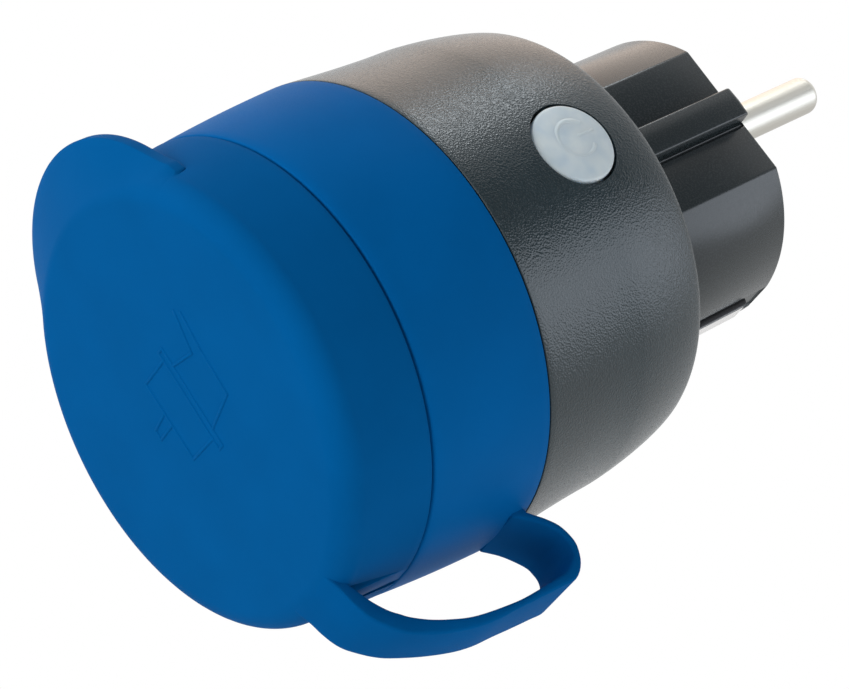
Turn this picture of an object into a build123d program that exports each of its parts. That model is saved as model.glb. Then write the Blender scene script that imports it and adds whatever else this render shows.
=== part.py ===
from build123d import *
import math
import os

# Outdoor switched mains plug, a round body between a plug and a lidded socket.
# Millimetres. +Y points out of the plug towards the wall, +Z is up, +X is the button's side.
# The origin is the middle of the plug's mating face, between its two pins.

# General clearances
seat_gap = 0.15
running_gap = 0.05
moving_gap = 0.3

# Plug pins
pin_radius = 2.4
pin_length = 19.0
pin_spacing = 19.0
pin_tip_round = 1.1
pin_root_radius = 2.2
pin_collar_radius = 3.6
pin_collar_length = 2.0
pin_tail_radius = 1.6

# Plug insert, the dark neck that carries the pins
insert_radius = 18.5
insert_flat_depth = 2.4
insert_rib_half = 2.05
insert_rib_inset = 0.2
insert_face_wall = 5.0
insert_pocket_radius = 14.0
insert_flange_wall = 2.5
insert_flange_width = 1.9
neck_length = 24.5

# Earthing strips of the plug, above and below
earth_strip_half = 1.4
earth_strip_wall = 0.9
earth_strip_proud = 0.45
earth_strip_setback = 3.2
earth_channel_margin = 0.7
earth_lead_in = 1.2
bridge_half = 3.0
bridge_wall = 0.8

# Rear housing
housing_wall = 2.4
shoulder_drop = 1.9
shoulder_length = 11.7
shoulder_power = 1.42
shoulder_points = 8
taper_length = 15.8
taper_rise = 0.7

# Front collar, the coloured ring with the socket's spigot
ring_length = 16.2
ring_rise = 1.2
ring_bulge = 0.16
front_wall = 2.2
spigot_wall = 2.2
lip_wall = 1.8
lip_length = 4.0

# Socket cup
recess_depth = 17.5
recess_clearance = 1.1
recess_flat_clearance = 0.7
recess_slot_clearance = 0.75
cup_wall = 2.25
cup_floor = 2.2
cup_setback = 0.2
cup_flange_length = 2.0
contact_hole_radius = 2.8

# Lid
lid_depth = 11.7
lid_wall = 2.2
lid_face_wall = 2.0
lid_play = 1.5
lid_draft = 0.9
lid_edge_round = 3.0
lid_seam_gap = 0.3
lid_seal_wall = 0.7
lid_seal_width = 2.0
tab_wall = 1.6
tab_setback = 3.1
tab_inset = 6.5
tab_centre = 12.1
tab_half_angle = 49.0
tab_slope_radius = 14.0
tab_slope_centre = 9.9
cutout_half_seam = 1.75
cutout_half_face = 3.2
cutout_face_margin = 3.0
tongue_gap = 0.45
tongue_setback = 0.7
hinge_behind_seam = 1.2
hinge_drop = 10.1
strap_half_front = [(-0.5, 4.8), (2.4, 3.9), (4.4, 3.5), (7.9, 3.15), (11.4, 3.3)]
strap_half_rear = [(-12.0, 3.8), (-6.0, 4.2), (-0.6, 4.65), (3.5, 4.7)]
strap_cut_gap = 0.25
strap_inner_front = [(2.2, -1.9), (3.6, 1.0), (7.1, 4.95), (11.05, 7.25)]
strap_inner_rear = [(-12.2, 8.8), (-5.5, 9.4), (-1.0, 9.3), (0.8, 8.25), (1.4, 6.6), (0.1, 3.7), (-2.9, 1.0)]
strap_outer_front = [(0.4, -3.1), (1.0, -1.1), (1.6, 1.5), (4.3, 5.3), (7.2, 7.15), (11.4, 9.05)]
strap_outer_rear = [(-12.0, 10.0), (-6.0, 10.4), (-0.6, 10.6), (1.3, 9.4), (2.25, 7.1), (1.7, 4.3), (-0.6, 1.5)]
strap_root_rise = 2.0
emblem_height = 0.25
emblem_line = 0.5

# Power button
button_from_rim = 10.9
button_radius = 5.1
button_gap = 0.35
button_sink = 0.35
button_dome = 0.45
button_travel = 0.6
button_cap_length = 3.45
button_flange_width = 1.0
button_flange_wall = 0.8
button_stem_radius = 1.5
button_stem_length = 0.4
gasket_wall = 0.35
gasket_gap = 0.25
button_boss_wall = 1.8
switch_side = 6.0
switch_height = 1.6
plunger_radius = 1.7
plunger_proud = 0.8
stem_gap = 0.1
board_wall = 1.0
led_side = 1.2
led_height = 0.8

# Screws
screw_count = 3
screw_inset = 3.1
screw_first_angle = 60.0
screw_radius = 1.25
screw_length = 26.0
screw_head_radius = 2.2
screw_head_height = 1.6
screw_recess = 2.3
screw_cross_length = 2.6
screw_cross_width = 0.6
screw_cross_depth = 0.8
boss_radius = 2.8
boss_reach_back = 6.0
boss_reach_front = 4.0

# Seals
housing_seal_radius = 0.65
housing_seal_back = 1.5
insert_seal_wall = 0.8

# Boards and what stands on them
board_from_shoulder = 2.8
main_board_wall = 1.6
main_board_flat_gap = 1.2
busbar_width = 5.0
busbar_length = 16.0
busbar_wall = 0.8
relay_width = 12.0
relay_depth = 18.0
relay_height = 7.4
transformer_width = 9.0
transformer_depth = 13.0
transformer_headroom = 1.0
bobbin_margin = 1.0
capacitor_radius = 3.15
capacitor_height = 10.0
capacitor_x = 5.0
capacitor_z = -15.0
varistor_radius = 4.5
varistor_wall = 3.5
varistor_x = -14.5
varistor_z = 9.5
fuse_radius = 2.0
fuse_length = 9.0
fuse_x = -17.5
fuse_z = -7.5
radio_half = 8.0
radio_wall = 0.8
radio_z = 13.0
shield_half = 6.0
shield_height = 8.5
shield_wall = 2.2
shield_offset = 2.0

# Contacts and shutter
sleeve_wall = 1.15
sleeve_bore = 2.35
sleeve_tail_length = 2.4
sleeve_slit = 0.8
sleeve_tail_radius = 1.0
carrier_radius = 15.0
carrier_wall = 2.0
carrier_tube_wall = 1.0
carrier_leg_half = 3.0
carrier_leg_wall = 1.2
shutter_wall = 2.0
shutter_radius = 13.3
shutter_half_width = 3.4
shutter_pivot_radius = 1.5
clip_half = 2.5
clip_wall = 0.8
clip_gap = 0.25
clip_reach = 12.6
clip_bump = 0.9
clip_bump_place = 6.5

# Radii, from the recess outwards
insert_flat_half = insert_radius - insert_flat_depth
insert_rib_radius = insert_radius - insert_rib_inset
recess_radius = insert_radius + recess_clearance
cup_radius = recess_radius + cup_wall
spigot_bore = cup_radius + seat_gap
spigot_radius = spigot_bore + spigot_wall
lid_bore_radius = spigot_radius + lid_play
ring_front_radius = lid_bore_radius + lid_wall
seam_radius = ring_front_radius + ring_rise
shoulder_radius = seam_radius - taper_rise
rim_radius = shoulder_radius - shoulder_drop
lid_edge_radius = ring_front_radius - lid_draft
tab_radius = lid_edge_radius - tab_inset
lip_back_radius = seam_radius - taper_rise * lip_length / taper_length
lip_radius = lip_back_radius - housing_wall - seat_gap
lip_bore = lip_radius - lip_wall
cup_flange_radius = lip_bore - seat_gap
screw_circle = rim_radius - screw_inset
flange_radius = insert_radius + insert_flange_width
earth_outer = insert_radius + earth_strip_proud
earth_inner = earth_outer - earth_strip_wall
clip_outer = recess_radius - clip_gap - seat_gap
clip_inner = clip_outer - clip_wall

# Stations along the axis, from the plug face towards the lid
rim_y = -neck_length
rear_wall_y = rim_y - housing_wall
seal_y = rear_wall_y - insert_seal_wall
flange_back_y = seal_y - insert_flange_wall
bridge_y = flange_back_y - moving_gap
button_y = rim_y - button_from_rim
shoulder_y = rim_y - shoulder_length
board_back_y = shoulder_y - board_from_shoulder
board_front_y = board_back_y - main_board_wall
seam_y = shoulder_y - taper_length
lip_back_y = seam_y + lip_length
boss_meeting_y = seam_y + boss_reach_back
boss_front_y = seam_y - boss_reach_front
ring_front_y = seam_y - ring_length
front_wall_back_y = ring_front_y + front_wall
hinge_y = ring_front_y + hinge_behind_seam
lid_face_y = ring_front_y - lid_depth
lid_inside_y = lid_face_y + lid_face_wall
spigot_front_y = lid_inside_y + lid_seal_wall + moving_gap
floor_y = spigot_front_y + recess_depth
floor_back_y = floor_y + cup_floor
shutter_front_y = floor_back_y + moving_gap
shutter_back_y = shutter_front_y + shutter_wall
carrier_front_y = shutter_back_y + moving_gap
carrier_back_y = carrier_front_y + carrier_wall
sleeve_length = board_front_y - sleeve_tail_length - carrier_back_y

# Places across the axis
pin_x = pin_spacing / 2
hinge_z = -ring_front_radius - hinge_drop
button_rim_x = shoulder_radius - button_sink
button_flange_x = button_rim_x - button_cap_length
button_flange_radius = button_radius + button_flange_width
button_back_x = button_flange_x - button_flange_wall
pocket_x = button_flange_x + gasket_gap + gasket_wall
pocket_radius = button_flange_radius + moving_gap
button_boss_radius = pocket_radius + button_boss_wall / 2
plunger_top_x = button_back_x - button_stem_length - stem_gap
switch_top_x = plunger_top_x - plunger_proud
switch_back_x = switch_top_x - switch_height
board_back_x = switch_back_x - board_wall
main_board_flat_x = button_back_x - main_board_flat_gap
main_board_radius = lip_bore


def along_y(outline, y_rear, y_front):
    """Prism of an X-Z outline from a rear station to a front one."""
    plane = Plane(origin=(0, y_rear, 0), x_dir=(1, 0, 0), z_dir=(0, -1, 0))
    return extrude(plane * outline, amount=y_rear - y_front)


def along_x(outline, x_inner, x_outer):
    """Prism of a Y-Z outline, drawn about the button's centre, going outwards."""
    plane = Plane(origin=(x_inner, button_y, 0), x_dir=(0, 1, 0), z_dir=(1, 0, 0))
    return extrude(plane * outline, amount=x_outer - x_inner)


def disc(radius, x=0, z=0):
    """Circle in the X-Z outline plane."""
    return Pos(x, z) * Circle(radius)


def block(x_low, x_high, y_low, y_high, z_low, z_high):
    """Box given by its limits."""
    centre = Pos((x_low + x_high) / 2, (y_low + y_high) / 2, (z_low + z_high) / 2)
    return centre * Box(x_high - x_low, y_high - y_low, z_high - z_low)


def turned(*points):
    """Solid turned about the long axis from (radius, y) points."""
    return revolve(make_face(Polyline(*points, close=True)), Axis.Y)


def keyed_outline(radius, flat_half, rib_half, rib_radius):
    """Round outline with a flat at each side and a rib along the middle of each flat."""
    body = Circle(radius) & Rectangle(2 * flat_half, 2 * radius)
    ribs = Circle(rib_radius) & Rectangle(2 * rib_radius, 2 * rib_half)
    return body + ribs


def channel_outline(half_width, low, high):
    """Pair of bars, above and below the axis."""
    bar = Rectangle(2 * half_width, high - low)
    middle = (low + high) / 2
    return Pos(0, middle) * bar + Pos(0, -middle) * bar


def screw_places():
    """(x, z) of each housing screw."""
    places = []
    for index in range(screw_count):
        angle = math.radians(screw_first_angle + 360 * index / screw_count)
        places.append((screw_circle * math.cos(angle), screw_circle * math.sin(angle)))
    return places


def housing_profile_radius(y):
    """Inside radius of the rear housing's straight taper at a station."""
    share = (shoulder_y - y) / taper_length
    return shoulder_radius + taper_rise * share - housing_wall


def plug_insert():
    """Neck with flats, ribs and earth channels, hollow from the back, with its inner flange."""
    outline = keyed_outline(insert_radius, insert_flat_half, insert_rib_half, insert_rib_radius)
    body = along_y(outline, 0, flange_back_y)
    body += along_y(disc(flange_radius), seal_y, flange_back_y)
    body -= along_y(disc(insert_pocket_radius), -insert_face_wall, flange_back_y)
    channel_half = earth_strip_half + earth_channel_margin
    channel = channel_outline(channel_half, earth_inner, flange_radius + 1)
    body -= along_y(channel, 1, flange_back_y)
    for x in (-pin_x, pin_x):
        body -= along_y(disc(pin_radius + running_gap, x), 0, -insert_face_wall)
    return body


def plug_pin(x):
    """Round pin with a rounded tip, a root through the face wall, a collar and a thin tail."""
    collar_y = -insert_face_wall
    collar_back_y = collar_y - pin_collar_length
    outline = RadiusArc(
        (pin_radius - pin_tip_round, pin_length),
        (pin_radius, pin_length - pin_tip_round),
        pin_tip_round,
    )
    outline += Polyline(
        (pin_radius, pin_length - pin_tip_round),
        (pin_radius, 0),
        (pin_root_radius, 0),
        (pin_root_radius, collar_y),
        (pin_collar_radius, collar_y),
        (pin_collar_radius, collar_back_y),
        (pin_tail_radius, collar_back_y),
        (pin_tail_radius, board_back_y),
        (0, board_back_y),
        (0, pin_length),
        (pin_radius - pin_tip_round, pin_length),
    )
    return Pos(x, 0, 0) * revolve(make_face(outline), Axis.Y)


def earth_strips():
    """Two side contacts of the plug, from near the face back to the main board."""
    front_y = -earth_strip_setback
    outline = Polyline(
        (board_back_y, earth_inner),
        (front_y, earth_inner),
        (front_y, earth_outer - earth_strip_wall / 2),
        (front_y - earth_lead_in, earth_outer),
        (board_back_y, earth_outer),
        close=True,
    )
    plane = Plane(origin=(-earth_strip_half, 0, 0), x_dir=(0, 1, 0), z_dir=(1, 0, 0))
    upper = extrude(plane * make_face(outline), amount=2 * earth_strip_half)
    return Compound(children=[upper, mirror(upper, Plane.XY)])


def earth_bridge():
    """Flat bar behind the insert that joins the upper and lower strips."""
    reach = earth_inner
    return block(-bridge_half, bridge_half, bridge_y - bridge_wall, bridge_y, -reach, reach)


def rear_housing():
    """Dark shell with its rounded shoulder, rear wall, screw bosses and button hole."""
    shoulder = []
    for index in range(shoulder_points):
        angle = math.pi / 2 * index / (shoulder_points - 1)
        along = math.sin(angle) ** (2 / shoulder_power)
        across = math.cos(angle) ** (2 / shoulder_power)
        radius = shoulder_radius - shoulder_drop * (1 - across)
        shoulder.append((radius, shoulder_y + shoulder_length * along))
    outline = Spline(*shoulder)
    outline += Polyline(
        (rim_radius, rim_y),
        (0, rim_y),
        (0, seam_y),
        (seam_radius, seam_y),
        (shoulder_radius, shoulder_y),
    )
    shell = revolve(make_face(outline), Axis.Y)
    hollow = turned(
        (0, rear_wall_y),
        (rim_radius - housing_wall, rear_wall_y),
        (shoulder_radius - housing_wall, shoulder_y),
        (seam_radius - housing_wall, seam_y),
        (0, seam_y),
    )
    shell -= hollow
    for x, z in screw_places():
        shell += along_y(disc(boss_radius, x, z), rear_wall_y, boss_meeting_y + seat_gap)
    boss = along_x(Circle(button_boss_radius), button_back_x, shoulder_radius) & hollow
    shell += boss
    shell -= along_x(Circle(pocket_radius), button_back_x, pocket_x)
    shell -= along_x(Circle(button_radius + button_gap), button_back_x, shoulder_radius + 1)
    neck = keyed_outline(
        insert_radius + seat_gap,
        insert_flat_half + seat_gap,
        insert_rib_half + seat_gap,
        insert_rib_radius + seat_gap,
    )
    neck += channel_outline(earth_strip_half + seat_gap, earth_inner, earth_outer + seat_gap)
    shell -= along_y(neck, rim_y, rear_wall_y)
    for x, z in screw_places():
        shell -= along_y(disc(screw_radius + seat_gap, x, z), rim_y, boss_meeting_y)
        shell -= along_y(disc(screw_head_radius + seat_gap, x, z), rim_y, rim_y - screw_recess)
    return shell


def lid_tongue():
    """Low land under the spigot that fills the opening in the lid's skirt."""
    half = cutout_half_seam - tongue_gap
    front_y = lid_face_y + cutout_face_margin + tongue_setback
    root_z = -(spigot_bore + spigot_radius) / 2
    return block(-half, half, front_y, ring_front_y + front_wall, -lid_edge_radius, root_z)


def front_collar():
    """Coloured ring with its front wall, the spigot for the lid and the rear aligning lip."""
    middle = ((seam_radius + ring_front_radius) / 2 + ring_bulge, (seam_y + ring_front_y) / 2)
    outline = ThreePointArc((seam_radius, seam_y), middle, (ring_front_radius, ring_front_y))
    outline += Polyline(
        (ring_front_radius, ring_front_y),
        (spigot_radius, ring_front_y),
        (spigot_radius, spigot_front_y),
        (spigot_bore, spigot_front_y),
        (spigot_bore, front_wall_back_y),
        (lip_bore, front_wall_back_y),
        (lip_bore, lip_back_y),
        (lip_radius, lip_back_y),
        (lip_radius, seam_y),
        (seam_radius, seam_y),
    )
    collar = revolve(make_face(outline), Axis.Y)
    for x, z in screw_places():
        collar += along_y(disc(boss_radius, x, z), boss_meeting_y, boss_front_y)
        collar -= along_y(disc(screw_radius, x, z), boss_meeting_y, boss_front_y + front_wall)
    groove_y = lip_back_y - housing_seal_back
    groove_bottom = housing_profile_radius(groove_y) - 2 * housing_seal_radius
    groove_half = housing_seal_radius + running_gap
    groove = turned(
        (groove_bottom - running_gap, groove_y - groove_half),
        (groove_bottom - running_gap, groove_y + groove_half),
        (seam_radius, groove_y + groove_half),
        (seam_radius, groove_y - groove_half),
    )
    return collar + lid_tongue() - groove


def housing_seal():
    """Round rubber ring in the lip's groove, against the inside of the rear housing."""
    groove_y = lip_back_y - housing_seal_back
    ring_radius = housing_profile_radius(groove_y) - housing_seal_radius
    section = Pos(ring_radius, groove_y) * Circle(housing_seal_radius - running_gap)
    return revolve(section, Axis.Y)


def insert_seal():
    """Flat ring between the insert's flange and the rear wall."""
    ring = Circle(flange_radius) - Circle(earth_outer + seat_gap)
    return along_y(ring, rear_wall_y, seal_y)


def housing_screws():
    """Screws put in from the back, each with a cross recess."""
    screws = []
    head_seat = rim_y - screw_recess
    head_top = head_seat + screw_head_height
    for x, z in screw_places():
        screw = along_y(disc(screw_head_radius, x, z), head_top, head_seat)
        screw += along_y(disc(screw_radius, x, z), head_seat, head_seat - screw_length)
        cross = Rectangle(screw_cross_length, screw_cross_width)
        cross += Rectangle(screw_cross_width, screw_cross_length)
        screw -= along_y(Pos(x, z) * cross, head_top, head_top - screw_cross_depth)
        screws.append(screw)
    return Compound(children=screws)


def socket_cup():
    """Dark cup with the keyed recess, its floor holes and a flange behind the front wall."""
    front_y = spigot_front_y + cup_setback
    cup = along_y(disc(cup_radius), floor_back_y, front_y)
    cup += along_y(disc(cup_flange_radius), front_wall_back_y + cup_flange_length, front_wall_back_y)
    recess = keyed_outline(
        recess_radius,
        insert_flat_half + recess_flat_clearance,
        insert_rib_half + recess_slot_clearance,
        recess_radius,
    )
    cup -= along_y(recess, floor_y, front_y)
    for x in (-pin_x, pin_x):
        cup -= along_y(disc(contact_hole_radius, x), floor_back_y, floor_y)
    slots = channel_outline(clip_half + seat_gap, clip_inner - seat_gap, clip_outer + seat_gap)
    return cup - along_y(slots, floor_back_y, floor_y)


def earth_clips():
    """Two sprung side contacts of the socket, each bowed inwards, down to the main board."""
    tip_y = floor_y - clip_reach
    bump_y = floor_y - clip_bump_place
    run = clip_bump_place - 1
    inner = [
        (bump_y + run, clip_inner),
        (bump_y, clip_inner - clip_bump),
        (tip_y, clip_inner),
    ]
    outer = [(y, z + clip_wall) for y, z in inner]
    outline = [(board_front_y, clip_inner)] + inner + outer[::-1] + [(board_front_y, clip_outer)]
    plane = Plane(origin=(-clip_half, 0, 0), x_dir=(0, 1, 0), z_dir=(1, 0, 0))
    upper = extrude(plane * make_face(Polyline(*outline, close=True)), amount=2 * clip_half)
    return Compound(children=[upper, mirror(upper, Plane.XY)])


def contact_carrier():
    """Insulating plate behind the shutter, with the sleeve tubes, the pivot and two legs."""
    holes = disc(contact_hole_radius, -pin_x) + disc(contact_hole_radius, pin_x)
    carrier = along_y(disc(carrier_radius) - holes, carrier_back_y, carrier_front_y)
    tube_bore = sleeve_bore + sleeve_wall + running_gap
    for x in (-pin_x, pin_x):
        tube = disc(tube_bore + carrier_tube_wall, x) - disc(tube_bore, x)
        carrier += along_y(tube, carrier_back_y + sleeve_length - 1, carrier_back_y)
    carrier += along_y(disc(shutter_pivot_radius), carrier_front_y, floor_back_y)
    leg_low = carrier_radius - 2 * carrier_leg_wall
    legs = channel_outline(carrier_leg_half, leg_low, carrier_radius - carrier_leg_wall)
    return carrier + along_y(legs, carrier_front_y, floor_back_y)


def shutter():
    """Turning bar that covers both contact holes at rest."""
    bar = Circle(shutter_radius) & Rectangle(2 * shutter_radius, 2 * shutter_half_width)
    bar -= Circle(shutter_pivot_radius + running_gap)
    return along_y(bar, shutter_back_y, shutter_front_y)


def contact_sleeve(x):
    """Slit tube that grips an appliance's pin, with a tail down to the main board."""
    back_y = carrier_back_y + sleeve_length
    ring = Circle(sleeve_bore + sleeve_wall) - Circle(sleeve_bore)
    ring -= Rectangle(sleeve_slit, 4 * sleeve_bore)
    sleeve = along_y(ring, back_y, carrier_back_y)
    sleeve += along_y(Circle(sleeve_bore + sleeve_wall), back_y + sleeve_wall, back_y)
    sleeve += along_y(Circle(sleeve_tail_radius), board_front_y, back_y + sleeve_wall)
    return Pos(x, 0, 0) * sleeve


def main_board():
    """Round circuit board with a flat at the button's side and a notch at each boss."""
    outline = disc(main_board_radius)
    edge = main_board_radius - main_board_flat_x
    outline -= Pos(main_board_flat_x + edge / 2, 0) * Rectangle(edge, 2 * main_board_radius)
    for x, z in screw_places():
        outline -= disc(boss_radius + moving_gap, x, z)
    return along_y(outline, board_back_y, board_front_y)


def busbar(x):
    """Flat bar on the board round a pin's tail."""
    outline = Pos(x, -busbar_length / 2 + busbar_width / 2) * Rectangle(busbar_width, busbar_length)
    outline -= disc(pin_tail_radius + running_gap, x)
    return along_y(outline, board_back_y + busbar_wall, board_back_y)


def relay():
    """Box of the power relay on the back of the board."""
    outline = RectangleRounded(relay_width, relay_depth, 0.6)
    return along_y(outline, board_back_y + relay_height, board_back_y)


def transformer():
    """Small supply transformer, a core on a wider bobbin base."""
    base = Rectangle(transformer_width, transformer_depth + bobbin_margin)
    body = along_y(base, board_front_y, board_front_y - bobbin_margin)
    core = Rectangle(transformer_width - bobbin_margin, transformer_depth)
    top_y = carrier_back_y + transformer_headroom
    return body + along_y(core, board_front_y - bobbin_margin, top_y)


def capacitors():
    """Two standing capacitors below the transformer."""
    cans = []
    for x in (-capacitor_x, capacitor_x):
        can = disc(capacitor_radius, x, capacitor_z)
        cans.append(along_y(can, board_front_y, board_front_y - capacitor_height))
    return Compound(children=cans)


def varistor():
    """Round surge absorber standing on its edge."""
    centre_y = board_front_y - varistor_radius
    return Pos(varistor_x, centre_y, varistor_z) * Cylinder(varistor_radius, varistor_wall)


def fuse():
    """Round fuse lying on the board."""
    return Pos(fuse_x, board_front_y - fuse_radius, fuse_z) * Cylinder(fuse_radius, fuse_length)


def radio_module():
    """Small radio board standing on the main board."""
    end_y = carrier_back_y + moving_gap
    return block(-radio_half, radio_half, end_y, board_front_y, radio_z - radio_wall, radio_z)


def radio_shield():
    """Metal can on the radio board."""
    top_y = board_front_y - shield_offset
    return block(-shield_half, shield_half, top_y - shield_height, top_y, radio_z, radio_z + shield_wall)


def button_board():
    """Board behind the button, standing on the main board."""
    reach = button_y - board_back_y
    outline = Rectangle(2 * reach, 2 * switch_side + 4 * led_side)
    return along_x(outline, board_back_x, switch_back_x)


def switch_body():
    """Square push switch with a round well for its plunger."""
    body = along_x(RectangleRounded(switch_side, switch_side, 0.5), switch_back_x, switch_top_x)
    floor_x = switch_top_x - plunger_proud - button_travel
    return body - along_x(Circle(plunger_radius + moving_gap / 2), floor_x, switch_top_x)


def switch_plunger():
    """Round plunger that the button's stem presses."""
    inner_x = switch_top_x - plunger_proud
    return along_x(Circle(plunger_radius), inner_x + running_gap, plunger_top_x)


def status_leds():
    """Two lamps that light the button from behind."""
    lamps = []
    offset = switch_side / 2 + led_side
    for z in (-offset, offset):
        lamp = Pos(0, z) * Rectangle(led_side, led_side)
        lamps.append(along_x(lamp, switch_back_x, switch_back_x + led_height))
    return Compound(children=lamps)


def button_gasket():
    """Thin rubber ring on the pocket's shoulder, round the button."""
    ring = Circle(pocket_radius - running_gap) - Circle(button_radius + button_gap)
    return along_x(ring, pocket_x - gasket_wall, pocket_x)


def power_button():
    """Round cap with a low dome, an inner flange and a short stem."""
    stem_x = button_back_x - button_stem_length
    top_x = button_rim_x + button_dome
    outline = RadiusArc(
        (top_x, button_y),
        (button_rim_x, button_y + button_radius),
        -(button_radius**2 + button_dome**2) / (2 * button_dome),
    )
    outline += Polyline(
        (button_rim_x, button_y + button_radius),
        (button_flange_x, button_y + button_radius),
        (button_flange_x, button_y + button_flange_radius),
        (button_back_x, button_y + button_flange_radius),
        (button_back_x, button_y + button_stem_radius),
        (stem_x, button_y + button_stem_radius),
        (stem_x, button_y),
        (top_x, button_y),
    )
    return revolve(make_face(outline), Axis((0, button_y, 0), (1, 0, 0)))


def emblem():
    """Thin raised outline of a plug with its cable on the lid's face."""
    strokes = [
        [(3.9, 6.2), (2.9, -6.4), (1.9, -6.4), (2.9, 6.2), (3.9, 6.2)],
        [(2.9, 5.2), (-2.8, 5.5), (-3.5, -4.5), (2.1, -5.0)],
        [(-3.0, 1.6), (-6.6, 1.3), (-6.7, 0.1), (-3.2, 0.0)],
        [(3.7, 3.9), (8.2, 2.8), (10.0, 7.4)],
        [(3.1, -4.3), (9.3, -3.4), (9.9, 1.9), (10.9, 6.6)],
    ]
    lines = Sketch()
    for points in strokes:
        for start, end in zip(points, points[1:]):
            lines += make_hull(disc(emblem_line / 2, *start).edges() + disc(emblem_line / 2, *end).edges())
    return along_y(lines, lid_face_y, lid_face_y - emblem_height)


def lid_cutout():
    """Opening in the bottom of the lid's skirt, round the strap."""
    y_seam = ring_front_y + 1
    y_face = lid_face_y + cutout_face_margin
    outline = Polyline(
        (-cutout_half_seam, y_seam),
        (cutout_half_seam, y_seam),
        (cutout_half_face, y_face),
        (-cutout_half_face, y_face),
        close=True,
    )
    plane = Plane(origin=(0, 0, -spigot_radius), x_dir=(1, 0, 0), z_dir=(0, 0, 1))
    return extrude(plane * make_face(outline), amount=-lid_depth)


def tab_slope(front_y):
    """Sloping front of the tab, from its rim up to the lid's flat face."""
    foot = Plane(origin=(0, front_y, 0), x_dir=(1, 0, 0), z_dir=(0, -1, 0))
    top = Plane(origin=(0, lid_face_y, 0), x_dir=(1, 0, 0), z_dir=(0, -1, 0))
    rim = foot * disc(tab_radius, 0, tab_centre)
    slope = loft(Sketch() + [rim, top * disc(tab_slope_radius, 0, tab_slope_centre)])
    return slope - along_y(disc(lid_edge_radius - lid_wall), front_y, lid_inside_y)


def lid():
    """Round lid with a skirt over the spigot, a lifting tab on top and the raised emblem."""
    seam_edge_y = ring_front_y - lid_seam_gap
    outline = FilletPolyline(
        (ring_front_radius, seam_edge_y),
        (lid_edge_radius, lid_face_y),
        (0, lid_face_y),
        radius=lid_edge_round,
    )
    outline += Polyline(
        (0, lid_face_y),
        (0, lid_inside_y),
        (lid_edge_radius - lid_wall, lid_inside_y),
        (lid_bore_radius, seam_edge_y),
        (ring_front_radius, seam_edge_y),
    )
    body = revolve(make_face(outline), Axis.Y)
    reach = 2 * tab_radius
    side = reach * math.sin(math.radians(tab_half_angle))
    top = reach * math.cos(math.radians(tab_half_angle))
    wedge = make_face(Polyline((0, 0), (side, top), (-side, top), close=True))
    tab = (disc(tab_radius, 0, tab_centre) & wedge) - disc(lid_edge_radius - lid_wall)
    tab_front_y = lid_face_y + tab_setback
    body += along_y(tab, tab_front_y + tab_wall, tab_front_y)
    body += tab_slope(tab_front_y)
    body -= lid_cutout()
    return body + emblem()


def lid_seal():
    """Flat soft ring inside the lid that meets the spigot's rim."""
    ring = Circle(spigot_radius) - Circle(spigot_radius - lid_seal_width)
    return along_y(ring, lid_inside_y + lid_seal_wall, lid_inside_y)


def below_ring(start_y, places):
    """(y, z) points from distances behind a station and below the ring's front edge."""
    return [(start_y + behind, -ring_front_radius - below) for behind, below in places]


def strap():
    """Whole strap, from the lid's lower edge round the finger loop to the collar."""
    inner = Spline(*below_ring(lid_face_y, strap_inner_front), *below_ring(seam_y, strap_inner_rear))
    outer = Spline(*below_ring(lid_face_y, strap_outer_front), *below_ring(seam_y, strap_outer_rear))
    outline = inner + outer
    outline += Line(inner @ 0, outer @ 0)
    root_z = (inner @ 1).Y + strap_root_rise
    outline += Polyline(inner @ 1, ((inner @ 1).X, root_z), ((outer @ 1).X, root_z), outer @ 1)
    reach = insert_radius
    plane = Plane(origin=(-reach, 0, 0), x_dir=(0, 1, 0), z_dir=(1, 0, 0))
    band = extrude(plane * make_face(outline), amount=2 * reach)
    right = [(half, lid_face_y + behind) for behind, half in strap_half_front]
    right += [(half, seam_y + behind) for behind, half in strap_half_rear]
    left = [(-half, y) for half, y in reversed(right)]
    width = make_face(Polyline(*right, *left, close=True))
    return band & extrude(Plane.XY * width, amount=2 * hinge_z)


def strap_front(whole, cover):
    """Lid's half of the strap, up to the bending line."""
    reach = insert_radius
    half = block(-reach, reach, 2 * lid_face_y, hinge_y - strap_cut_gap, 2 * hinge_z, 0)
    return (whole & half) - cover


def strap_rear(whole, collar):
    """Collar's half of the strap, from the bending line to its root on the ring."""
    reach = insert_radius
    half = block(-reach, reach, hinge_y, 0, 2 * hinge_z, 0)
    return (whole & half) - collar


def build_all():
    """Make every piece and write each to its own file."""
    os.makedirs("parts", exist_ok=True)
    whole_strap = strap()
    cover = lid()
    collar = front_collar()
    pieces = {
        "plug_insert": plug_insert(),
        "live_pin": plug_pin(pin_x),
        "neutral_pin": plug_pin(-pin_x),
        "earth_strips": earth_strips(),
        "earth_bridge": earth_bridge(),
        "insert_seal": insert_seal(),
        "rear_housing": rear_housing(),
        "housing_seal": housing_seal(),
        "housing_screws": housing_screws(),
        "front_collar": collar,
        "socket_cup": socket_cup(),
        "socket_earth_clips": earth_clips(),
        "contact_carrier": contact_carrier(),
        "shutter": shutter(),
        "live_sleeve": contact_sleeve(pin_x),
        "neutral_sleeve": contact_sleeve(-pin_x),
        "main_board": main_board(),
        "live_busbar": busbar(pin_x),
        "neutral_busbar": busbar(-pin_x),
        "relay": relay(),
        "transformer": transformer(),
        "capacitors": capacitors(),
        "varistor": varistor(),
        "fuse": fuse(),
        "radio_module": radio_module(),
        "radio_shield": radio_shield(),
        "button_board": button_board(),
        "switch_body": switch_body(),
        "switch_plunger": switch_plunger(),
        "status_leds": status_leds(),
        "button_gasket": button_gasket(),
        "power_button": power_button(),
        "lid": cover,
        "lid_seal": lid_seal(),
        "strap_front": strap_front(whole_strap, cover),
        "strap_rear": strap_rear(whole_strap, collar),
    }
    for name, piece in pieces.items():
        export_step(piece, f"parts/{name}.step")


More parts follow.
